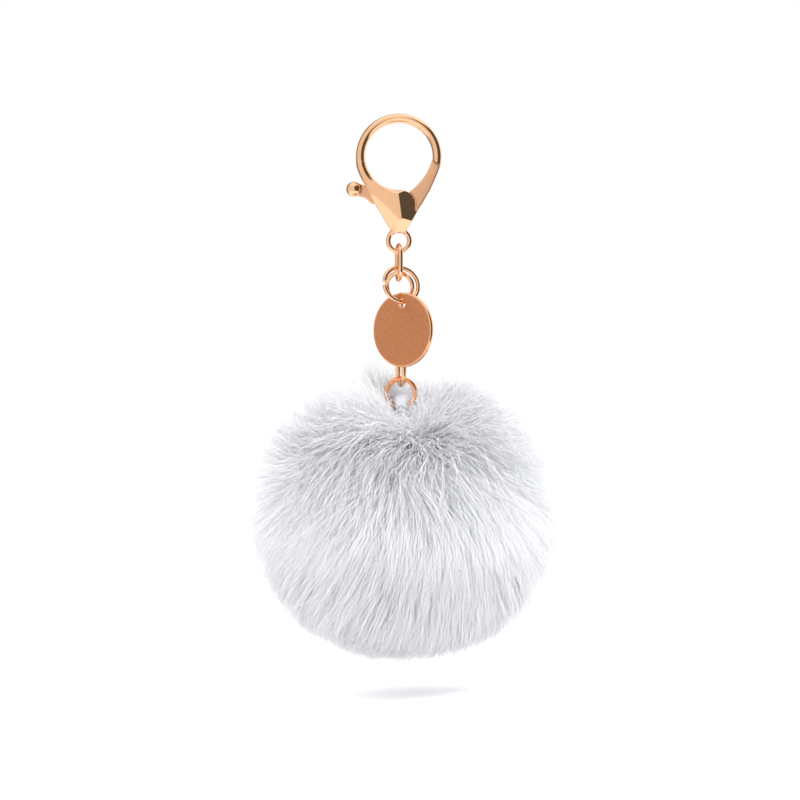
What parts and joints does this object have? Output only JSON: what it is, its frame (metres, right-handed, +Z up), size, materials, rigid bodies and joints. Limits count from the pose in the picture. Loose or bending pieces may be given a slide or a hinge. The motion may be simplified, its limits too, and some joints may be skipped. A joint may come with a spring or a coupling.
{
  "type": "plush keychain",
  "caption": "Faux-fur ball on a short link chain with a round blank metal tag, jump rings and a sprung lobster clasp.",
  "frame": {"origin": "the point that the clasp hangs from, at the inner top of its hook, mid depth", "axes": "+Z up along the hanging chain, -Y to the front of the clasp, +X to the right as seen from the front, towards the gate"},
  "size_m": [0.0739, 0.074, 0.1455],
  "materials": {
    "gold": "polished rose gold plate",
    "copper": "polished copper plate",
    "satin_copper": "satin copper face with a polished rim",
    "steel": "plain",
    "textile": "soft knitted textile",
    "fibre": "loose fibre filling",
    "fur": "long soft white faux fur"
  },
  "bodies": {
    "clasp": {"clasp_body": "gold", "gate_pin": "steel", "gate_spring": "steel"},
    "gate": {"clasp_gate": "gold"},
    "first_link": {"chain_link_1": "gold"},
    "tag_ring": {"tag_ring": "gold"},
    "tag": {"tag_disc": "satin_copper"},
    "chain_ring": {"chain_ring": "gold"},
    "second_link": {"chain_link_2": "gold"},
    "third_link": {"chain_link_3": "gold"},
    "fourth_link": {"chain_link_4": "gold"},
    "pompom_ring": {"pompom_ring": "copper"},
    "pompom": {"hanging_loop": "textile", "loop_knot": "textile", "gathering_thread": "textile", "fur_backing": "textile", "stuffing": "fibre", "fur_pile": "fur"}
  },
  "joints": [
    {"name": "gate_hinge", "type": "hinge", "parent": "clasp", "child": "gate", "pos_m": [0.00081, 0, -0.02197], "axis": [0, -1, 0], "range_deg": [0, 28], "stiffness_Nm_per_rad": 0.01, "springref_deg": -17.19, "deforming": ["gate_spring"]},
    {"name": "first_link_swing", "type": "hinge", "parent": "clasp", "child": "first_link", "pos_m": [0, 0, -0.0347], "axis": [1, 0, 0], "range_deg": [-25, 25]},
    {"name": "tag_ring_swing", "type": "hinge", "parent": "first_link", "child": "tag_ring", "pos_m": [0.00012, -0.00097, -0.0391], "axis": [-0.9272, -0.3746, 0], "range_deg": [0, 40]},
    {"name": "tag_swing", "type": "hinge", "parent": "tag_ring", "child": "tag", "pos_m": [0.00112, -0.00346, -0.04844], "axis": [0.6293, 0.7771, 0], "range_deg": [-35, 35]},
    {"name": "chain_ring_swing", "type": "hinge", "parent": "first_link", "child": "chain_ring", "pos_m": [-0.00006, 0.0005, -0.04049], "axis": [0.9063, -0.4226, 0], "range_deg": [0, 20]},
    {"name": "second_link_swing", "type": "hinge", "parent": "chain_ring", "child": "second_link", "pos_m": [0.00055, 0.0018, -0.04787], "axis": [0.9063, -0.4226, 0], "range_deg": [0, 20]},
    {"name": "third_link_swing", "type": "hinge", "parent": "second_link", "child": "third_link", "pos_m": [0.00055, 0.0018, -0.05553], "axis": [0, 1, 0], "range_deg": [-8, 8]},
    {"name": "fourth_link_swing", "type": "hinge", "parent": "third_link", "child": "fourth_link", "pos_m": [0.00055, 0.0018, -0.06308], "axis": [1, 0, 0], "range_deg": [-12, 12]},
    {"name": "pompom_ring_swing", "type": "hinge", "parent": "fourth_link", "child": "pompom_ring", "pos_m": [0.00055, 0.0018, -0.07063], "axis": [0, -1, 0], "range_deg": [-18, 18]},
    {"name": "pompom_swing", "type": "hinge", "parent": "pompom_ring", "child": "pompom", "pos_m": [0.00055, 0.0018, -0.07673], "axis": [1, 0, 0], "range_deg": [-20, 20]}
  ]
}
